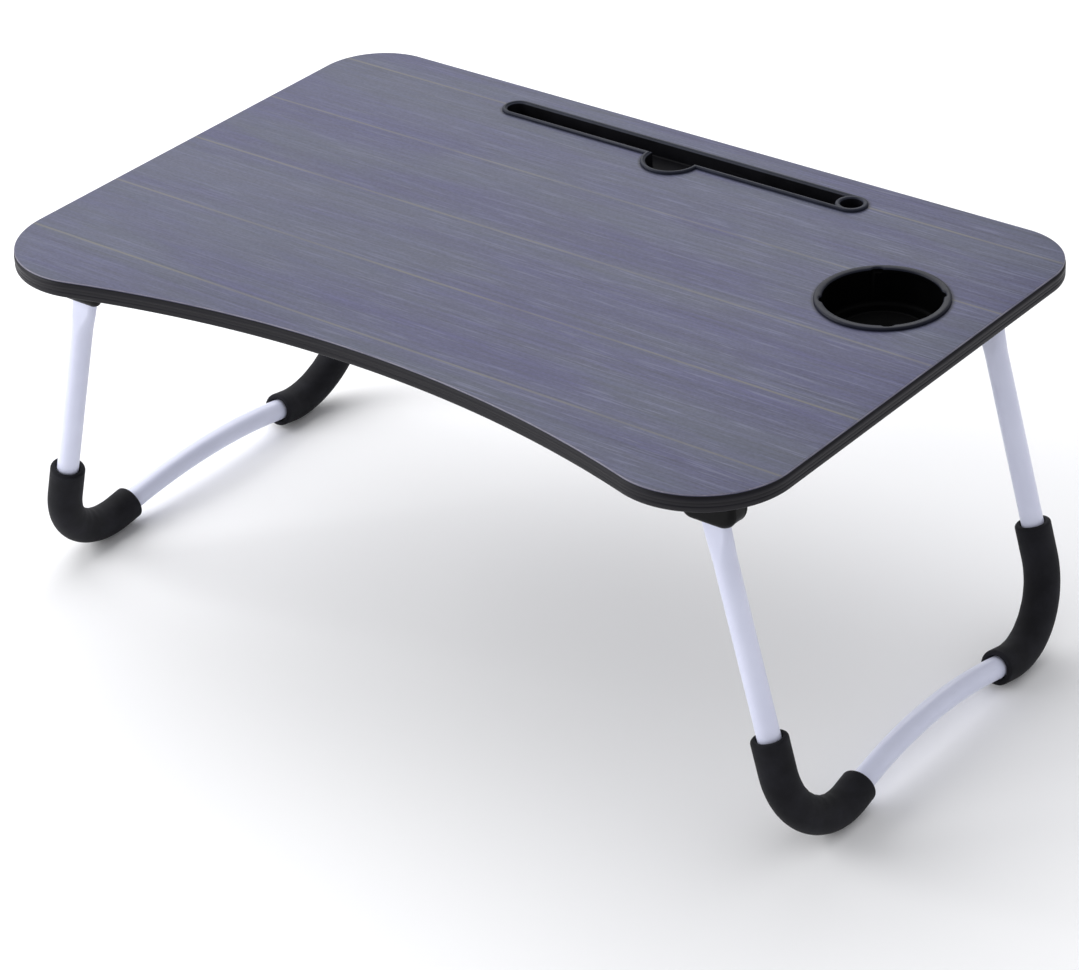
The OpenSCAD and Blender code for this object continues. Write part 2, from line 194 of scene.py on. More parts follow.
def laminate_material():
    """Satin printed wood grain along X: fine dashes, soft patches, thin pale and beige streaks."""
    m = Recipe("laminate")
    x, y, _ = m.add("ShaderNodeSeparateXYZ", {0: m.place}).outputs
    patch = m.noise((5, 30, 1), 2.0, 0.5)
    band = m.noise((2, 60, 1), 3.0, 0.7, shift=(3.1, 0, 0))
    lines = m.noise((1, 360, 1), 3.0, 0.75, shift=(0, 7.7, 0))
    dashes = m.noise((20, 640, 1), 2.0, 0.6, shift=(1.7, 0, 0))
    weave = m.noise((420, 700, 1), 1.0, 0.5, shift=(0, 2.3, 0))
    fade = m.noise((9, 40, 1), 2.0, 0.6, shift=(5.5, 0, 0))
    flecks = m.noise((26, 620, 1), 1.0, 0.6, shift=(0.4, 9, 0))

    tint = m.mix(m.remap(patch, 0.40, 0.62, 0, 1, True), srgb(65, 69, 89), srgb(65, 65, 97))
    tint = m.mix(m.remap(band, 0.35, 0.65, 0, 0.7), tint, srgb(71, 73, 97))
    # the grain is fainter towards the left
    strength = m.remap(x, -0.30, 0.20, 0.6, 1.4)
    uneven = m.remap(fade, 0.3, 0.7, 0.5, 1.4)
    ridge = m.math("MULTIPLY", m.remap(lines, 0.3, 0.7, -0.19, 0.19), uneven)
    ridge = m.math("MULTIPLY", ridge, strength)
    fine = m.math("ADD", ridge, m.remap(dashes, 0.3, 0.7, -0.20, 0.20))
    shade = m.math("ADD", m.math("ADD", fine, m.remap(weave, 0.3, 0.7, -0.14, 0.14)), 1.0)
    colour = m.mix(1.0, tint, shade, "MULTIPLY")
    fleck = m.math("MULTIPLY", m.remap(flecks, 0.57, 0.70, 0, 0.45), strength)
    colour = m.mix(fleck, colour, srgb(96, 99, 124))

    # the print's beige streaks repeat across the grain; away is in repeats from the nearest one
    repeat, first = 79 * MM, 11.8 * MM
    away = m.math("PINGPONG", m.math("DIVIDE", m.math("SUBTRACT", y, first), repeat), 0.5)
    wear_and_light = m.remap(fade, 0.25, 0.60, 0.25, 0.70)
    beige = m.math("MULTIPLY", m.remap(away, 0.004, 0.019, 1, 0, True), wear_and_light)
    colour = m.mix(beige, colour, srgb(103, 101, 95))

    # and pale blue ones between them, along the contours of a slow noise
    slow = m.noise((0, 38, 1), 1.0, 0.4, shift=(8.0, 0.6, 0))
    edge = m.math("ABSOLUTE", m.math("SUBTRACT", slow, 0.50))
    faint = m.remap(fade, 0.40, 0.70, 0.05, 0.28)
    pale = m.math("MULTIPLY", m.remap(edge, 0.0, 0.006, 1, 0, True), faint)
    colour = m.mix(pale, colour, srgb(94, 98, 124))

    # painted shade in the crevice round the slot's bezel and the cup's flange: darker within 2.6 mm
    # of their edges
    def beyond(dx, centre_y, reach):
        """Distance outside a round edge."""
        dy = m.math("SUBTRACT", y, centre_y)
        square = m.math("ADD", m.math("MULTIPLY", dx, dx), m.math("MULTIPLY", dy, dy))
        return m.math("SUBTRACT", m.math("SQRT", square), reach)

    past_end = m.math("MAXIMUM", m.math("SUBTRACT", m.math("ABSOLUTE", x), SLOT_END), 0.0)
    near = m.math("MINIMUM", beyond(past_end, SLOT_Y, SLOT_W / 2), beyond(x, NOTCH_Y, NOTCH_R))
    near_cup = beyond(m.math("SUBTRACT", x, CUP.x), CUP.y, CUP_FLANGE_R)
    near = m.math("MINIMUM", near, near_cup)
    colour = m.mix(m.remap(near, 0.0, 2.6 * MM, 0.75, 0, True), colour, srgb(20, 20, 30))

    grain = m.math("ADD", m.math("MULTIPLY", lines, 0.5), dashes)
    normal = m.bump(grain, 0.18, 0.15 * MM)
    mottling = m.remap(patch, 0.3, 0.7, -0.03, 0.03)
    rough = m.math("ADD", m.remap(dashes, 0.3, 0.7, 0.42, 0.52), mottling)
    m.surface(Base_Color=colour, Roughness=rough, Normal=normal, Specular_IOR_Level=0.30)
    return m.material


def rim_highlight_material():
    """The laminate's rounded rim, painted paler than the face as a highlight."""
    m = Recipe("laminate_rim_painted_highlight")
    rim_blotch = m.noise((60, 60, 900), 3.0, 0.6)
    fleck = m.noise((700, 700, 700), 2.0, 0.6)
    colour = m.mix(m.remap(rim_blotch, 0.35, 0.65, 0, 1), srgb(88, 86, 104), srgb(120, 116, 130))
    colour = m.mix(m.remap(fleck, 0.55, 0.75, 0, 0.5), colour, srgb(140, 135, 146))
    m.surface(Base_Color=colour, Roughness=m.remap(rim_blotch, 0.3, 0.7, 0.30, 0.42),
              Normal=m.bump(fleck, 0.1, 0.04 * MM))
    return m.material


def moulded_material(name, dark, light, rough, gloss, texture_strength=0.10):
    """Moulded plastic: a fine spark-eroded texture, soft mottling and faint handling marks."""
    m = Recipe(name)
    mottled = m.noise((55, 55, 55), 3.0, 0.6)
    texture = m.noise((2600, 2600, 2600), 2.0, 0.6)
    scuffs = m.noise((40, 900, 300), 2.0, 0.6, distortion=0.6, shift=(2, 5, 1))
    colour = m.mix(m.remap(mottled, 0.35, 0.65, 0, 1), dark, light)
    colour = m.mix(m.remap(scuffs, 0.68, 0.80, 0, 0.10), colour, srgb(60, 62, 72))
    roughness = m.math("ADD", m.remap(texture, 0.3, 0.7, rough - 0.05, rough + 0.05),
                       m.remap(mottled, 0.3, 0.7, -0.05, 0.05))
    m.surface(Base_Color=colour, Roughness=roughness, Specular_IOR_Level=gloss,
              Normal=m.bump(texture, texture_strength, 0.05 * MM))
    return m.material


def trim_material():
    """Extruded edging: fine die lines that run round the tray, with painted light on its ribs and
    painted shade in its cove and groove.
    """
    m = Recipe("edge_trim")
    die = m.noise((6, 6, 3200), 2.0, 0.6)
    streak = m.noise((14, 14, 700), 2.0, 0.6, shift=(0, 0, 3))
    mottled = m.noise((30, 30, 30), 2.0, 0.6)
    # painted shade darkens the cove and the groove, and painted light makes the broad band and the
    # lower bead paler
    _, _, z = m.add("ShaderNodeSeparateXYZ", {0: m.place}).outputs
    groove_z, cove_z = UNDER + 4.3 * MM, UNDER + 9.0 * MM
    below = m.remap(z, cove_z - 2.0 * MM, cove_z, 1, 0, True)
    from_groove = m.math("ABSOLUTE", m.math("SUBTRACT", z, groove_z))
    painted_light_bands = m.math("MULTIPLY", below, m.remap(from_groove, 0.3 * MM, 1.0 * MM, 0, 1, True))
    wear_and_light = m.mix(m.remap(streak, 0.3, 0.7, 0, 1), srgb(26, 25, 29), srgb(37, 36, 39))
    colour = m.mix(m.remap(streak, 0.3, 0.7, 0, 1), srgb(17, 16, 22), srgb(26, 25, 31))
    colour = m.mix(painted_light_bands, colour, wear_and_light)
    colour = m.mix(m.remap(mottled, 0.45, 0.75, 0, 0.35), colour, srgb(32, 31, 36))
    m.surface(Base_Color=colour, Roughness=m.remap(die, 0.2, 0.8, 0.40, 0.56),
              Normal=m.bump(die, 0.12, 0.06 * MM), Specular_IOR_Level=0.16)
    return m.material


def paint_material():
    """Semi-gloss powder coat: orange peel, a faint cloudiness and a few rubbing marks."""
    m = Recipe("leg_paint")
    peel = m.noise((520, 520, 520), 2.0, 0.5)
    cloud = m.noise((18, 18, 18), 3.0, 0.6)
    rubs = m.noise((900, 60, 90), 2.0, 0.6, distortion=0.5)
    colour = m.mix(m.remap(cloud, 0.35, 0.65, 0, 1), srgb(209, 212, 233), srgb(216, 219, 239))
    colour = m.mix(m.remap(rubs, 0.70, 0.82, 0, 0.30), colour, srgb(180, 183, 202))
    m.surface(Base_Color=colour, Roughness=m.remap(peel, 0.3, 0.7, 0.28, 0.38),
              Normal=m.bump(peel, 0.10, 0.06 * MM), Coat_Weight=0.25, Coat_Roughness=0.18)
    return m.material


def foam_material():
    """Closed-cell foam with a skin: tiny pits, soft dents and a dusty bloom."""
    m = Recipe("sleeve_foam")
    pits = m.cells((1500, 1500, 1500))
    skin = m.noise((3200, 3200, 3200), 2.0, 0.6)
    dents = m.noise((120, 120, 120), 2.0, 0.5)
    dust = m.noise((45, 45, 45), 3.0, 0.6, shift=(4, 4, 4))
    colour = m.mix(m.remap(dust, 0.40, 0.72, 0, 1), srgb(15, 15, 20), srgb(28, 28, 34))
    # the pits are painted darker: painted shade in them
    colour = m.mix(m.remap(pits, 0.0, 0.28, 0.5, 0), colour, srgb(8, 8, 9))
    height = m.math("ADD", m.math("MULTIPLY", pits, 0.8), m.math("MULTIPLY", skin, 0.6))
    normal = m.bump(dents, 0.25, 0.5 * MM, m.bump(height, 0.35, 0.10 * MM))
    m.surface(Base_Color=colour, Roughness=m.remap(skin, 0.3, 0.7, 0.72, 0.88), Normal=normal,
              Specular_IOR_Level=0.2, Sheen_Weight=0.03, Sheen_Roughness=0.4)
    return m.material


def steel_material():
    """Bright zinc plate with a fine brushed grain and a faint yellow cast."""
    m = Recipe("plated_steel")
    brushed = m.noise((2500, 90, 2500), 2.0, 0.6)
    cast = m.noise((150, 150, 150), 2.0, 0.6)
    colour = m.mix(m.remap(cast, 0.3, 0.7, 0, 1), srgb(176, 177, 182), srgb(192, 188, 176))
    m.surface(Base_Color=colour, Metallic=1.0, Roughness=m.remap(brushed, 0.3, 0.7, 0.24, 0.40),
              Normal=m.bump(brushed, 0.08, 0.03 * MM))
    return m.material


def nylon_material():
    """Natural nylon: milky and slightly waxy."""
    m = Recipe("bush_nylon")
    milky = m.noise((160, 160, 160), 2.0, 0.6)
    wax = m.noise((1800, 1800, 1800), 2.0, 0.5)
    colour = m.mix(m.remap(milky, 0.3, 0.7, 0, 1), srgb(214, 212, 202), srgb(226, 225, 218))
    m.surface(Base_Color=colour, Roughness=m.remap(wax, 0.3, 0.7, 0.38, 0.50),
              Normal=m.bump(wax, 0.08, 0.04 * MM), Subsurface_Weight=0.15,
              Subsurface_Radius=(0.002, 0.002, 0.002), Subsurface_Scale=0.5)
    return m.material


def backing_material():
    """Plain dark backing laminate with a pebbled face."""
    m = Recipe("backing_laminate")
    pebble = m.noise((900, 900, 900), 2.0, 0.5)
    cloud = m.noise((9, 9, 9), 3.0, 0.6)
    rubs = m.noise((30, 260, 30), 3.0, 0.7, distortion=0.8)
    colour = m.mix(m.remap(cloud, 0.35, 0.65, 0, 1), srgb(58, 58, 62), srgb(66, 66, 71))
    colour = m.mix(m.remap(rubs, 0.66, 0.80, 0, 0.22), colour, srgb(104, 104, 110))
    m.surface(Base_Color=colour, Roughness=m.remap(pebble, 0.3, 0.7, 0.46, 0.60),
              Normal=m.bump(pebble, 0.18, 0.10 * MM))
    return m.material


def fibreboard_material():
    """Raw fibreboard: pressed fibres in two browns."""
    m = Recipe("fibreboard")
    fibres = m.noise((700, 700, 2500), 4.0, 0.7)
    clumps = m.noise((90, 90, 500), 3.0, 0.6)
    colour = m.mix(m.remap(fibres, 0.3, 0.7, 0, 1), srgb(150, 122, 88), srgb(190, 164, 126))
    colour = m.mix(m.remap(clumps, 0.5, 0.8, 0, 0.4), colour, srgb(116, 92, 64))
    m.surface(Base_Color=colour, Roughness=m.remap(fibres, 0.3, 0.7, 0.80, 0.95),
              Normal=m.bump(fibres, 0.4, 0.12 * MM))
    return m.material


def floor_material():
    """Plain pale studio floor."""
    m = Recipe("studio_floor")
    faint = m.noise((1.5, 1.5, 1.5), 2.0, 0.5)
    colour = m.mix(m.remap(faint, 0.3, 0.7, 0, 1), srgb(247, 247, 249), srgb(250, 250, 251))
    m.surface(Base_Color=colour, Roughness=0.9, Specular_IOR_Level=0.1)
    return m.material


LAMINATE = laminate_material()
LAMINATE_RIM_HIGHLIGHT = rim_highlight_material()
TRIM = trim_material()
LINER = moulded_material("slot_liner_plastic", srgb(27, 30, 41), srgb(36, 39, 51),
                         rough=0.38, gloss=0.12)
# the liner's well is painted near-black: painted shade
LINER_WELL_SHADE = moulded_material("slot_liner_well_painted_shade", srgb(5, 5, 9), srgb(10, 10, 15),
                              rough=0.50, gloss=0.08)
CUP_PLASTIC = moulded_material("cup_plastic", srgb(20, 22, 33), srgb(27, 29, 41),
                               rough=0.34, gloss=0.11, texture_strength=0.06)
# the cup's well is painted almost black: painted shade
CUP_WELL_SHADE = moulded_material("cup_well_painted_shade", srgb(1, 1, 2), srgb(3, 3, 4),
                            rough=0.45, gloss=0.03, texture_strength=0.06)
BRACKET = moulded_material("bracket_plastic", srgb(3, 3, 4), srgb(6, 6, 8),
                           rough=0.42, gloss=0.10, texture_strength=0.16)
PAINT = paint_material()
FOAM = foam_material()
STEEL = steel_material()
NYLON = nylon_material()
BACKING = backing_material()
FIBREBOARD = fibreboard_material()


# ---- mesh building ----

def add_loft(bm, rings, around=False, caps=(False, False)):
    """Joins rings of points, each closed on itself; around joins the last ring to the first."""
    grid = [[bm.verts.new(p) for p in ring] for ring in rings]
    pairs = list(zip(grid, grid[1:]))
    if around:
        pairs.append((grid[-1], grid[0]))
    for a, b in pairs:
        for i in range(len(a)):
            k = (i + 1) % len(a)
            bm.faces.new((a[i], a[k], b[k], b[i]))
    for cap, ring in zip(caps, (grid[0], grid[-1])):
        if cap:
            bm.faces.new(ring)


def add_plate(bm, outer, holes):
    """A plate. Its outline and its holes are each a stack of rings, from its top to its bottom."""
    for level in (0, -1):
        edges = []
        for stack in [outer, *holes]:
            verts = [bm.verts.new(p) for p in stack[level]]
            edges += [bm.edges.new(pair) for pair in zip(verts, verts[1:] + verts[:1])]
        bmesh.ops.triangle_fill(bm, use_beauty=True, edges=edges, normal=(0, 0, 1))
    for stack in [outer, *holes]:
        add_loft(bm, stack)


def circle(cx, cy, r, z, n=96):
    turns = [2 * math.pi * i / n for i in range(n)]
    return [(cx + r * math.cos(a), cy + r * math.sin(a), z) for a in turns]


def turned(matrix, profile):
    """Rings about a frame's Y axis, for a profile of (radius, place along Y) in millimetres."""
    return [[matrix @ Vector((x, h * MM, z)) for x, z, _ in circle(0, 0, r * MM, 0, 48)]
            for r, h in profile]


def finish_mesh(bm, name, material, sharp=38):
    """Welds and closes the mesh, sets its normals and its smooth shading, and makes its object."""
    bmesh.ops.remove_doubles(bm, verts=bm.verts, dist=1e-6)
    bmesh.ops.recalc_face_normals(bm, faces=bm.faces)
    mesh = bpy.data.meshes.new(name)
    bm.to_mesh(mesh)
    bm.free()
    mesh.shade_smooth()
    mesh.set_sharp_from_angle(angle=math.radians(sharp))
    mesh.materials.append(material)
    piece = bpy.data.objects.new(name, mesh)
    bpy.context.scene.collection.objects.link(piece)
    return piece


def paint_well_shade(piece, material, top, floor, reaches):
    """Gives the darker material, a painted shade, to the faces between two heights where reaches(x,
    y) is true.
    """
    piece.data.materials.append(material)
    for face in piece.data.polygons:
        x, y, z = face.center
        if floor - 0.5 * MM < z < top and reaches(x, y):
            face.material_index = 1


def put(piece, body, slot, *nodes):
    """The piece rides on its body and stands for its CAD nodes; slot is not used."""
    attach(piece, body)
    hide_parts(*nodes)
    return piece


# ---- outlines ----

def arc(cx, cy, r, start, end, steps):
    """Points of an arc; the angles are in degrees."""
    angles = [math.radians(start + (end - start) * i / steps) for i in range(steps + 1)]
    return [(cx + r * math.cos(a), cy + r * math.sin(a)) for a in angles]


def tray_outline(inset):
    """Four round corners and a concave belly arc, which touches the two front corner arcs."""
    run = HALF_LEN - FRONT_R
    turn = math.asin(run / (BELLY_R + FRONT_R))
    front_y = FRONT_R - HALF_DEPTH
    belly_y = front_y - (BELLY_R + FRONT_R) * math.cos(turn)
    rear_x = HALF_LEN - REAR_R
    rear_y = HALF_DEPTH - REAR_R
    turn = math.degrees(turn)
    return (
        arc(run, front_y, FRONT_R - inset, -90 - turn, 0, 56)
        + arc(rear_x, rear_y, REAR_R - inset, 0, 90, 40)
        + arc(-rear_x, rear_y, REAR_R - inset, 90, 180, 40)
        + arc(-run, front_y, FRONT_R - inset, 180, 270 + turn, 56)
        + arc(0, belly_y, BELLY_R + inset, 90 + turn, 90 - turn, 80)[1:-1]
    )


def slot_outline(grow):
    r = SLOT_W / 2 + grow
    notch_r = NOTCH_R + grow
    cut = math.degrees(math.asin((NOTCH_Y - (SLOT_Y - r)) / notch_r))
    return (
        arc(SLOT_END, SLOT_Y, r, -90, 90, 28)
        + arc(-SLOT_END, SLOT_Y, r, 90, 270, 28)
        + arc(0, NOTCH_Y, notch_r, 180 + cut, 360 - cut, 36)
    )


def at_height(points, z):
    return [(x, y, z) for x, y in points]


def rings_of(outline, profile, base):
    """Rings of an outline that takes an inset, from pairs of an inset and a height in mm."""
    return [at_height(outline(inset * MM), base + height * MM) for inset, height in profile]


# ---- tray ----

def make_top_laminate():
    """The laminate reaches the edge; its rounded rim takes a paler material, a painted highlight.
    """
    rim = [(1.5, 0.0), (1.05, -0.08), (0.7, -0.25), (0.45, -0.5), (0.45, -0.8), (1.6, -0.8)]
    slot = rings_of(slot_outline, [(-1.2, 0.0), (-1.2, -0.8)], TOP)
    cup = [circle(CUP.x, CUP.y, CUP_FLANGE_R - 1.2 * MM, z) for z in (TOP, TOP - 0.8 * MM)]
    bm = bmesh.new()
    add_plate(bm, rings_of(tray_outline, rim, TOP), [slot, cup])
    sheet = finish_mesh(bm, "top_wood_laminate", LAMINATE, 50)
    # the rim's sloping faces take the paler material: a painted highlight
    sheet.data.materials.append(LAMINATE_RIM_HIGHLIGHT)
    for face in sheet.data.polygons:
        if 0.2 < face.normal.z < 0.97:
            face.material_index = 1
    put(sheet, "tray", "laminate", "top_laminate")


def make_bottom_laminate():
    thickness = 0.6
    lift = 0.06
    edge = [(3.0, thickness), (3.0, lift + 0.15), (3.15, lift)]
    slot = rings_of(slot_outline, [(-1.9, thickness), (-1.9, lift)], UNDER)
    hole_r = CUP_R + CUP_WALL + 0.25 * MM
    cup = [circle(CUP.x, CUP.y, hole_r, UNDER + h * MM) for h in (thickness, lift)]
    bm = bmesh.new()
    add_plate(bm, rings_of(tray_outline, edge, UNDER), [slot, cup])
    put(finish_mesh(bm, "underside_backing", BACKING), "tray", "backing", "bottom_laminate")


def make_edge_trim():
    """A ribbed edging: a cove below the laminate, a broad band, a groove and a bead."""
    cove = [(3.1, -1.0), (1.3, -0.82), (1.2, -1.4), (1.1, -1.85), (0.85, -2.2), (0.45, -2.45)]
    band = [(0.16, -2.8), (0.03, -3.2), (0.0, -3.8), (0.0, -5.0), (0.14, -5.2), (0.14, -5.35),
            (0.0, -5.55), (0.0, -7.0)]
    groove = [(0.10, -7.35), (0.30, -7.6), (0.30, -7.8), (0.10, -8.05)]
    bead = [(0.0, -8.4), (0.0, -10.2), (0.1, -10.7), (0.35, -11.2), (0.8, -11.6), (1.4, -11.88),
            (2.2, -12.0), (2.9, -12.0), (3.1, -11.8)]
    profile = cove + band + groove + bead
    bm = bmesh.new()
    add_loft(bm, rings_of(tray_outline, profile, TOP), around=True)
    put(finish_mesh(bm, "ribbed_edge_trim", TRIM, 60), "tray", "trim", "edge_trim")


def in_slot(x, y):
    """Whether a point in plan is inside the liner's inner wall."""
    edge = 3.3 * MM
    in_straight = abs(x) < SLOT_END and abs(y - SLOT_Y) < SLOT_W / 2 - edge
    in_end = math.hypot(abs(x) - SLOT_END, y - SLOT_Y) < SLOT_W / 2 - edge
    in_notch = math.hypot(x, y - NOTCH_Y) < NOTCH_R - edge
    return in_straight or in_end or in_notch


def make_slot_liner():
    """The liner's rounded bezel with an inner step, its filleted well, and the pen ring."""
    floor = (LINER_FLOOR - TOP) / MM
    bottom = (slot_lo.z - TOP) / MM
    outside = [(-2.1, bottom), (-2.1, -0.1), (-2.0, 0.0), (0.0, 0.0), (0.0, 0.85)]
    bezel = [(-0.1, 1.35), (-0.4, 1.75), (-0.85, 1.97), (-1.4, 2.0), (-1.95, 1.93), (-2.3, 1.7)]
    step = [(-2.45, 1.35), (-2.7, 1.2), (-3.1, 1.12), (-3.35, 0.95), (-3.45, 0.6)]
    well = [(-3.45, floor + 1.0), (-3.75, floor + 0.3), (-4.45, floor)]
    bm = bmesh.new()
    profile = outside + bezel + step + well
    add_loft(bm, rings_of(slot_outline, profile, TOP), caps=(True, True))
    pen = PEN_R / MM
    ring = [
        (10.9, floor - 0.2), (10.9, 0.7), (10.75, 1.3), (10.35, 1.75), (9.8, 1.97), (8.7, 1.97),
        (8.1, 1.78), (pen + 0.2, 1.4), (pen, 0.8), (pen, floor + 0.6), (pen - 0.3, floor + 0.1),
        (pen - 0.9, floor + 0.02),
    ]
    rings = [circle(SLOT_END, SLOT_Y, r * MM, TOP + h * MM, 72) for r, h in ring]
    add_loft(bm, rings, caps=(True, True))
    liner = finish_mesh(bm, "tablet_slot_liner", LINER, 45)
    # the faces inside the well take the near-black material: painted shade
    paint_well_shade(liner, LINER_WELL_SHADE, TOP + 0.4 * MM, LINER_FLOOR, in_slot)
    put(liner, "tray", "liner", "slot_liner")


def make_cup_holder():
    """A cup with a rounded flange, four small notches in its inner rim and a ring on its floor."""
    floor = (CUP_FLOOR - TOP) / MM
    under = (cup_lo.z - TOP) / MM
    wall = (CUP_R + CUP_WALL) / MM
    flange = CUP_FLANGE_R / MM
    inner = CUP_R / MM
    outside = [(0.0, under), (wall - 2.2, under), (wall - 0.9, under + 0.35),
               (wall - 0.2, under + 1.1), (wall, under + 2.2), (wall, -0.1), (wall + 0.1, 0.0)]
    rim = [(flange, 0.0), (flange, 0.9), (flange - 0.15, 1.4), (flange - 0.5, 1.78),
           (flange - 1.0, 1.97), (flange - 1.8, 2.0), (inner + 0.3, 1.95), (inner - 0.25, 1.7)]
    lip = [(inner - 0.55, 1.3), (inner - 0.7, 0.8), (inner - 0.7, -1.2), (inner, -1.8)]
    inside = [(inner - 0.15, floor + 3.4), (inner - 0.5, floor + 1.8), (inner - 1.5, floor + 0.6),
              (inner - 3.0, floor + 0.08), (inner - 5.0, floor)]
    ring = [(30.0, floor), (29.7, floor + 0.15), (29.3, floor + 0.5), (28.7, floor + 0.5),
            (28.3, floor + 0.15), (28.0, floor)]
    disc = [(12.0, floor), (11.7, floor + 0.35), (11.0, floor + 0.5), (0.0, floor + 0.5)]
    steps = 192
    notch_at = (38, 128, 218, 308)
    notch_half = 6.0
    notch_depth = 1.7

    def notch(angle, height):
        """How far the inner rim steps out at this angle."""
        if not -1.3 < height < 1.96:
            return 0.0
        past = [abs(math.degrees(angle) - middle) / notch_half for middle in notch_at]
        return sum(notch_depth * max(0.0, 1 - p ** 4) for p in past)

    rings = []
    for r, h in outside + rim + lip + inside + ring + disc:
        on_rim = inner - 0.8 < r < inner + 0.4
        points = []
        for i in range(steps):
            a = 2 * math.pi * i / steps
            reach = (r + (notch(a, h) if on_rim else 0)) * MM
            points.append((CUP.x + reach * math.cos(a), CUP.y + reach * math.sin(a), TOP + h * MM))
        rings.append(points)
    bm = bmesh.new()
    add_loft(bm, rings)
    cup = finish_mesh(bm, "recessed_cup_holder", CUP_PLASTIC, 45)
    # the faces inside the cup take the almost black material: painted shade
    paint_well_shade(cup, CUP_WELL_SHADE, TOP + 0.6 * MM, CUP_FLOOR,
              lambda x, y: math.hypot(x - CUP.x, y - CUP.y) < CUP_R + 1.2 * MM)
    put(cup, "tray", "cup", "cup_holder")


# ---- brackets, pins and screws ----

def pivot_frame(side, end):
    """Matrix from a pivot's own frame, +X outboard and the fold axis along Y, to the row frame."""
    y = -HALF_WIDTH if end == "front" else HALF_WIDTH
    mirror = Matrix.Scale(SIDES[side], 4, (1, 0, 0))
    return Matrix.Translation((SIDES[side] * HINGE_X, y, HINGE_Z)) @ mirror


def cheek_profile(inset):
    """A cheek in the XZ plane: level below, round outboard, and slanting inboard."""
    top = UNDER - HINGE_Z - SINK
    out = BASE_OUT - CHEEK_BACK
    root = BASE_IN - CHEEK_BACK - inset
    heel = arc(-HEEL_IN, HEEL_R - CHEEK_DROP, HEEL_R - inset, 213, 270, 8)
    nose = arc(out - NOSE_R, NOSE_R - CHEEK_DROP, NOSE_R - inset, 270, 360, 14)
    # both ends flare into the base over their last 5 mm
    rise = 5 * MM
    steps = (0, 0.4, 0.7, 0.9, 1)
    flare = [(out - inset + 2.2 * MM * t ** 3, top - rise * (1 - t)) for t in steps]
    slant = [(-root - 2 * MM * t ** 3 + 3.1 * MM * (1 - t), top - rise * (1 - t))
             for t in reversed(steps)]
    return heel + nose + flare + slant


def add_pillow(bm, outline, low, high, low_r, high_r, place):
    """Extrudes an outline that takes an inset, with the edges of its two end faces rounded."""
    turns = [math.radians(d) for d in (0, 15, 30, 45, 60, 75, 90)]

    def ring(face, r, turn):
        """One ring of an edge of radius r; r is negative at the high face."""
        inset = abs(r) * (1 - math.sin(turn))
        return [place(p, face + r * (1 - math.cos(turn))) for p in outline(inset)]

    rings = [ring(low, low_r, a) for a in turns]
    rings += [ring(high, -high_r, a) for a in reversed(turns)]
    add_loft(bm, rings, caps=(True, True))


def base_outline(inset):
    """The base in plan: a rectangle with round corners, centred between its two reaches."""
    cx, hx, hy = (BASE_OUT - BASE_IN) / 2, (BASE_OUT + BASE_IN) / 2, BASE_W / 2
    points = []
    for sx, sy, start in ((1, 1, 0), (-1, 1, 90), (-1, -1, 180), (1, -1, 270)):
        x, y = cx + sx * (hx - BASE_R), sy * (hy - BASE_R)
        points += arc(x, y, BASE_R - inset, start, start + 90, 10)
    return points


def web_outline(inset):
    """The stop between the cheeks, outboard of the open leg, whose inner face leans with it."""
    top = UNDER - HINGE_Z - SINK
    shy = 0.15 * MM                          # how far the web stays behind the cheeks' edges
    out = BASE_OUT - CHEEK_BACK - shy - inset
    face = FLAT_A + 0.4 * MM + inset
    low = -CHEEK_DROP + shy + inset

    def lean(z):
        return (face / math.cos(SPLAY) - z * math.tan(SPLAY), z)

    corner = arc(out - NOSE_R, low + NOSE_R, NOSE_R, 290, 360, 8)
    return [lean(top), lean(low + 4 * MM), lean(low + 1.2 * MM)] + corner + [(out, top)]


def make_bracket(side, end):
    """A moulded bracket: a screwed base, two rounded cheeks and the stop between them."""
    matrix = pivot_frame(side, end)
    top = UNDER - HINGE_Z

    def level(p, z):
        return matrix @ Vector((p[0], p[1], z))

    def upright(p, y):
        return matrix @ Vector((p[0], y, p[1]))

    bm = bmesh.new()
    add_pillow(bm, base_outline, top - BASE_T, top, 0.8 * MM, 0.2 * MM, level)
    outer_r, inner_r = 4.4 * MM, 0.3 * MM
    add_pillow(bm, cheek_profile, CHEEK_GAP / 2, BRACKET_W / 2, inner_r, outer_r, upright)
    add_pillow(bm, cheek_profile, -BRACKET_W / 2, -CHEEK_GAP / 2, outer_r, inner_r, upright)
    web_half, web_r = CHEEK_GAP / 2 + SINK, 0.1 * MM
    add_pillow(bm, web_outline, -web_half, web_half, web_r, web_r, upright)
    # a raised boss round the pin on each cheek's outer face
    boss = [(6.6, -1.0), (6.6, 0.05), (6.3, 0.25), (5.6, 0.35), (4.4, 0.35), (4.2, -0.5)]
    for sign in (-1, 1):
        add_loft(bm, turned(matrix, [(r, sign * (BRACKET_W / 2 / MM + h)) for r, h in boss]))
    name = f"leg_bracket_{end}_{side}"
    put(finish_mesh(bm, name, BRACKET, 40), "tray", "bracket", f"bracket_{end}_{side}")


def make_pin(side, end):
    """A rivet through the bracket: a plain shank with two domed heads."""
    half = BRACKET_W / 2 / MM
    profile = [(0.0, half + 1.2), (1.2, half + 1.17), (2.3, half + 1.02), (3.2, half + 0.72),
               (3.8, half + 0.3), (4.0, half), (2.5, half)]
    profile += [(r, -h) for r, h in reversed(profile)]
    bm = bmesh.new()
    add_loft(bm, turned(pivot_frame(side, end), profile))
    pin = finish_mesh(bm, f"rivet_pin_{end}_{side}", STEEL, 50)
    put(pin, "tray", "pin", f"pivot_pin_{end}_{side}")


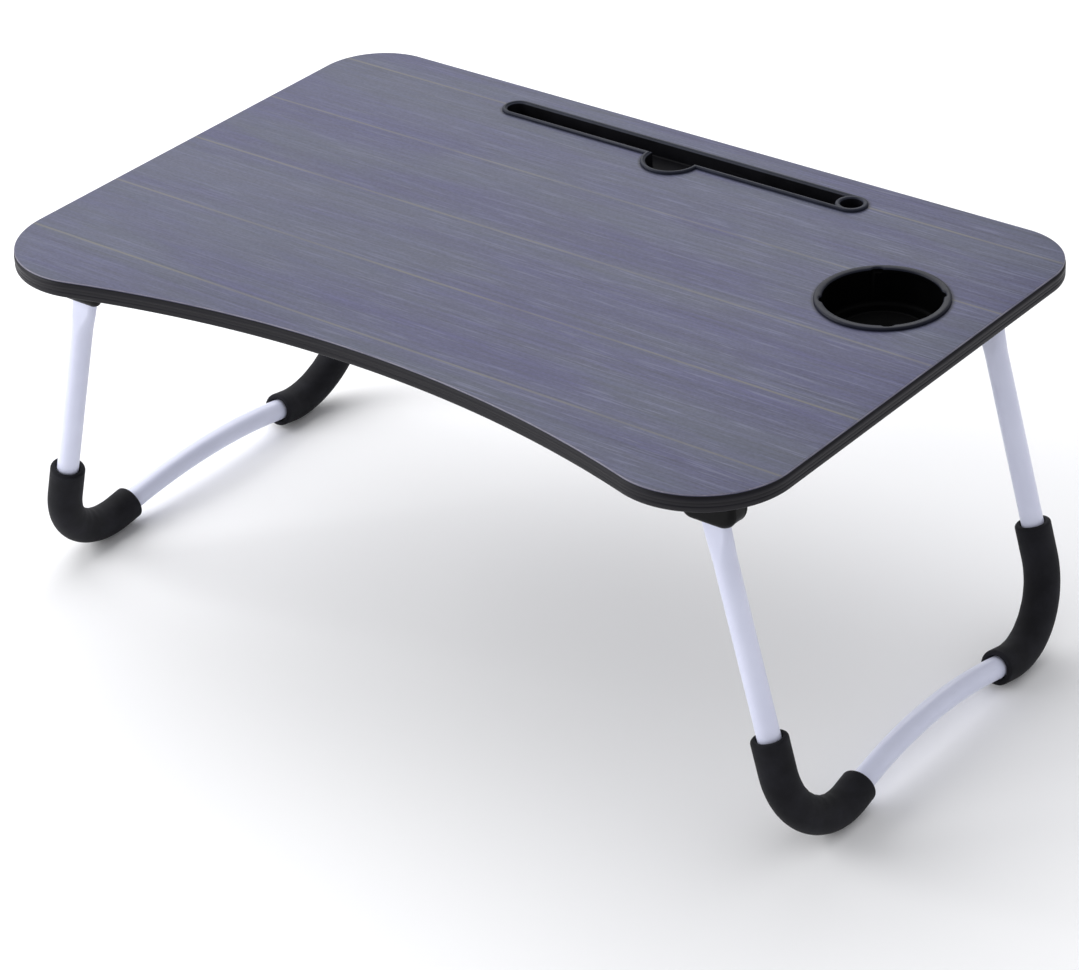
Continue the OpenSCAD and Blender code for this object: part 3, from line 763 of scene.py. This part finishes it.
def add_screw(bm, matrix):
    """A countersunk screw with a cross recess, pointing up from z = 0, where its head is flush."""
    arm, half = 1.9, 0.42                    # of the cross, in millimetres, as all here
    head_r = 3.1
    cross = []
    for quarter in range(4):
        a = quarter * math.pi / 2
        for x, y in ((arm, -half), (arm, half), (half, half)):
            cross.append((x * math.cos(a) - y * math.sin(a), x * math.sin(a) + y * math.cos(a)))
    rim = [(head_r * math.cos(t), head_r * math.sin(t)) for t in
           (math.atan2(y, x) for x, y in cross)]
    narrowing = 0.55
    lower = [(x * narrowing, y * narrowing) for x, y in cross]

    def ring(points, z):
        return [matrix @ Vector((x * MM, y * MM, z * MM)) for x, y in points]

    recess = [ring(lower, 1.3), ring(cross, 0.12), ring(cross, 0.0), ring(rim, 0.0)]
    add_loft(bm, recess, caps=(True, False))
    shank = [(head_r + 0.02, 0.0), (3.2, 0.1), (3.2, 0.25), (1.6, 1.6), (1.6, 8.0), (0.3, 10.0),
             (0.0, 10.0)]
    rings = [[matrix @ Vector(p) for p in circle(0, 0, r * MM, h * MM, 12)] for r, h in shank]
    add_loft(bm, rings)


def make_screws():
    bm = bmesh.new()
    for side in SIDES:
        for end in ENDS:
            for x, y in SCREW_PLACES:
                place = Vector((x, y, UNDER - HINGE_Z - BASE_T - 0.02 * MM))
                # each screw's cross comes to rest at an angle of its own
                turn = Matrix.Rotation(x * 3000 + y * 1700, 4, "Z")
                add_screw(bm, pivot_frame(side, end) @ Matrix.Translation(place) @ turn)
    put(finish_mesh(bm, "bracket_cross_screws", STEEL, 35), "tray", "screw", "bracket_screws")


# ---- leg frames ----

def leg_matrix(side):
    """Matrix from a leg's own frame, hanging straight down from the fold axis, to the row frame."""
    mirror = Matrix.Scale(SIDES[side], 4, (1, 0, 0))
    return mirror @ Matrix.Translation((HINGE_X, 0, HINGE_Z)) @ Matrix.Rotation(-SPLAY, 4, "Y")


# A station of the tube is its centre's Y and Z, the direction of the bend's outside from +Y, and
# its half-sizes along X and across it.

def section_ring(station, sides, matrix, ripple=None):
    y, z, turn, a, b = station
    ring = []
    for i in range(sides):
        t = 2 * math.pi * i / sides
        c, s = math.cos(t), math.sin(t)
        side = 0 if abs(c) < 1e-6 else math.copysign(1, c)
        grow = 1 + (ripple(t) if ripple else 0)
        u = (b * c + (a - b) * side) * grow
        v = b * s * grow
        ring.append(matrix @ Vector((u, y + v * math.cos(turn), z + v * math.sin(turn))))
    return ring


def bend_stations(r, steps):
    total = math.pi / 2 + ARCH_TILT
    turns = [total * i / steps for i in range(steps + 1)]
    return [(CORNER_Y + CORNER_R * math.cos(t), BEND_Z - CORNER_R * math.sin(t), -t, r, r)
            for t in turns]


def bar_station(along, r):
    """The point of the lower bar at a distance past the bend, on its straight stretch."""
    return (CORNER_Y - CORNER_R * math.sin(ARCH_TILT) - along * math.cos(ARCH_TILT),
            BEND_Z - CORNER_R * math.cos(ARCH_TILT) + along * math.sin(ARCH_TILT),
            -math.pi / 2 - ARCH_TILT, r, r)


def arch_stations(r, steps):
    turns = [-ARCH_TILT * i / steps for i in range(-steps, steps + 1)]
    return [(ARCH_R * math.sin(t), ARCH_Z + ARCH_R * math.cos(t), -math.pi / 2 - t, r, r)
            for t in turns]


def flat_end_stations():
    """The crimped, rounded upper end, and its flare down to the round tube."""
    stations = []
    # heights above the fold axis, in millimetres; the last two millimetres thin out
    for z in (7.9, 7.2, 6.0, 4.5, 3.0, 1.5, 0.0):
        a = math.sqrt(FLAT_A ** 2 - (z * MM) ** 2)
        stations.append((HALF_WIDTH, z * MM, 0, max(a, FLAT_B), FLAT_B - max(0, z - 6) * 0.5 * MM))
    for i in range(13):
        t = i / 12
        k = t * t * (3 - 2 * t)
        stations.append((HALF_WIDTH, -FLAT_LEN - FLARE_LEN * t, 0,
                         FLAT_A + (TUBE_R - FLAT_A) * k, FLAT_B + (TUBE_R - FLAT_B) * k))
    return stations


def mirrored(stations):
    return [(-y, z, -math.pi - turn, a, b) for y, z, turn, a, b in reversed(stations)]


def make_leg_tube(side):
    half = flat_end_stations() + bend_stations(TUBE_R, 28)
    stations = half + arch_stations(TUBE_R, 20) + mirrored(half)
    matrix = leg_matrix(side)
    bm = bmesh.new()
    add_loft(bm, [section_ring(s, 48, matrix) for s in stations], caps=(True, True))
    tube = finish_mesh(bm, f"bent_leg_tube_{side}", PAINT, 50)
    put(tube, f"{side}_leg", "leg_paint", f"leg_tube_{side}")


def make_bush(side, end):
    """A flanged nylon bush in the tube's eye."""
    y = -HALF_WIDTH if end == "front" else HALF_WIDTH
    matrix = leg_matrix(side) @ Matrix.Translation((0, y, 0))
    half = FLAT_B / MM
    bore = 2.55
    profile = [(bore, half + 0.45), (bore + 0.15, half + 0.6), (6.3, half + 0.6),
               (6.5, half + 0.45), (6.5, half), (4.0, half)]
    profile += [(r, -h) for r, h in reversed(profile)]
    bm = bmesh.new()
    add_loft(bm, turned(matrix, profile), around=True)
    bush = finish_mesh(bm, f"nylon_bush_{end}_{side}", NYLON, 40)
    put(bush, f"{side}_leg", "bush", f"pivot_bush_{end}_{side}")


def make_sleeve(side, end):
    """A foam sleeve over a lower corner: rolled lips, a dark gap at the tube, a creased bend."""
    lip = 2.0 * MM
    snug_r = TUBE_R + 0.05 * MM
    gap_r = TUBE_R + 0.7 * MM
    roll = [(lip * (1 - math.sin(t)), lip * (1 - math.cos(t))) for t in
            (math.radians(d) for d in (0, 18, 36, 54, 72, 90))]
    mouth = [(snug_r, 7.0 * MM), (gap_r, 6.0 * MM), (gap_r, 1.2 * MM),
             (gap_r + 0.35 * MM, 0.35 * MM), (gap_r + 0.9 * MM, 0.0)]
    # an end is its radii, with how far back from its tip each one lies
    end_rings = mouth + [(SLEEVE_R - inward, back) for inward, back in roll]
    upper = [(HALF_WIDTH, BEND_Z + SLEEVE_UP - back, 0, r, r) for r, back in end_rings]
    inner = list(reversed(bend_stations(snug_r, 28)))
    run = [(HALF_WIDTH, BEND_Z + SLEEVE_UP * k, 0, SLEEVE_R, SLEEVE_R) for k in (0.75, 0.5, 0.25)]
    lower = [bar_station(SLEEVE_IN - back, r) for r, back in reversed(end_rings)]
    bend = bend_stations(SLEEVE_R, 56)
    creases, crease_depth, bunch = 7, 0.010, 0.05

    def ripple(step):
        """The foam bunches up inside the bend, in shallow creases that fade out to its ends."""
        along = step / (len(bend) - 1)
        swell = math.sin(math.pi * along) ** 4
        wave = math.cos(2 * math.pi * creases * along) * math.sin(math.pi * along)
        return lambda t: (crease_depth * wave + bunch * swell) * max(0.0, -math.sin(t)) ** 2

    matrix = leg_matrix(side)
    if end == "front":
        matrix = matrix @ Matrix.Scale(-1, 4, (0, 1, 0))
    rings = [section_ring(s, 56, matrix) for s in upper + run]
    rings += [section_ring(s, 56, matrix, ripple(i)) for i, s in enumerate(bend)]
    rings += [section_ring(s, 56, matrix) for s in lower + inner]
    bm = bmesh.new()
    add_loft(bm, rings, around=True)
    sleeve = finish_mesh(bm, f"foam_sleeve_{end}_{side}", FOAM, 60)
    put(sleeve, f"{side}_leg", "sleeve", f"foot_sleeve_{end}_{side}")


make_top_laminate()
make_bottom_laminate()
make_edge_trim()
make_slot_liner()
make_cup_holder()
make_screws()
for side in SIDES:
    make_leg_tube(side)
    for end in ENDS:
        make_bracket(side, end)
        make_pin(side, end)
        make_bush(side, end)
        make_sleeve(side, end)

core = frame["nodes"]["tray_core"]
core.data.materials.clear()
core.data.materials.append(FIBREBOARD)


# ---- floor, lights and camera ----

def make_floor():
    reach = 6.0
    corners = [(sx * reach, sy * reach, 0) for sx, sy in ((-1, -1), (1, -1), (1, 1), (-1, 1))]
    mesh = bpy.data.meshes.new("floor")
    mesh.from_pydata(corners, [], [(0, 1, 2, 3)])
    mesh.materials.append(floor_material())
    floor = bpy.data.objects.new("floor", mesh)
    bpy.context.scene.collection.objects.link(floor)


def add_softbox(name, place, aim, size, power):
    """A square soft light that faces a point."""
    light = bpy.data.lights.new(name, "AREA")
    light.shape = "SQUARE"
    light.size = size
    light.energy = power
    lamp = bpy.data.objects.new(name, light)
    lamp.location = place
    lamp.rotation_mode = "QUATERNION"
    lamp.rotation_quaternion = (Vector(aim) - Vector(place)).to_track_quat("-Z", "Y")
    bpy.context.scene.collection.objects.link(lamp)


def make_camera():
    """The photograph's viewing angle, with its slight roll."""
    azimuth, elevation, roll = (math.radians(a) for a in (39.2, 30.35, -2.8))
    distance = 2.145
    target = Vector((0.1892, -0.2310, TOP))
    level = math.cos(elevation)
    back = Vector((math.sin(azimuth) * level, -math.cos(azimuth) * level, math.sin(elevation)))
    right = Vector((0, 0, 1)).cross(back).normalized()
    up = back.cross(right)
    tilted_right = right * math.cos(roll) + up * math.sin(roll)
    tilted_up = up * math.cos(roll) - right * math.sin(roll)
    data = bpy.data.cameras.new("camera")
    data.lens = 124.95
    data.sensor_width = 36
    data.clip_end = 50
    camera = bpy.data.objects.new("camera", data)
    turn = Matrix((tilted_right, tilted_up, back)).transposed().to_4x4()
    camera.matrix_world = Matrix.Translation(target + back * distance) @ turn
    bpy.context.scene.collection.objects.link(camera)
    bpy.context.scene.camera = camera


make_floor()
add_softbox("key_light", (-2.4, -1.6, 1.5), (0, 0, 0.15), size=2.0, power=60)
add_softbox("top_light", (-1.05, 0.8, 1.75), (0, 0, 0.2), size=2.4, power=29)
make_camera()

world = bpy.data.worlds.new("studio")
world.use_nodes = True
sky = world.node_tree.nodes["Background"].inputs
sky["Color"].default_value = (0.98, 0.985, 1.0, 1)
sky["Strength"].default_value = 0.72
bpy.context.scene.world = world
bpy.context.scene.view_settings.view_transform = "Standard"
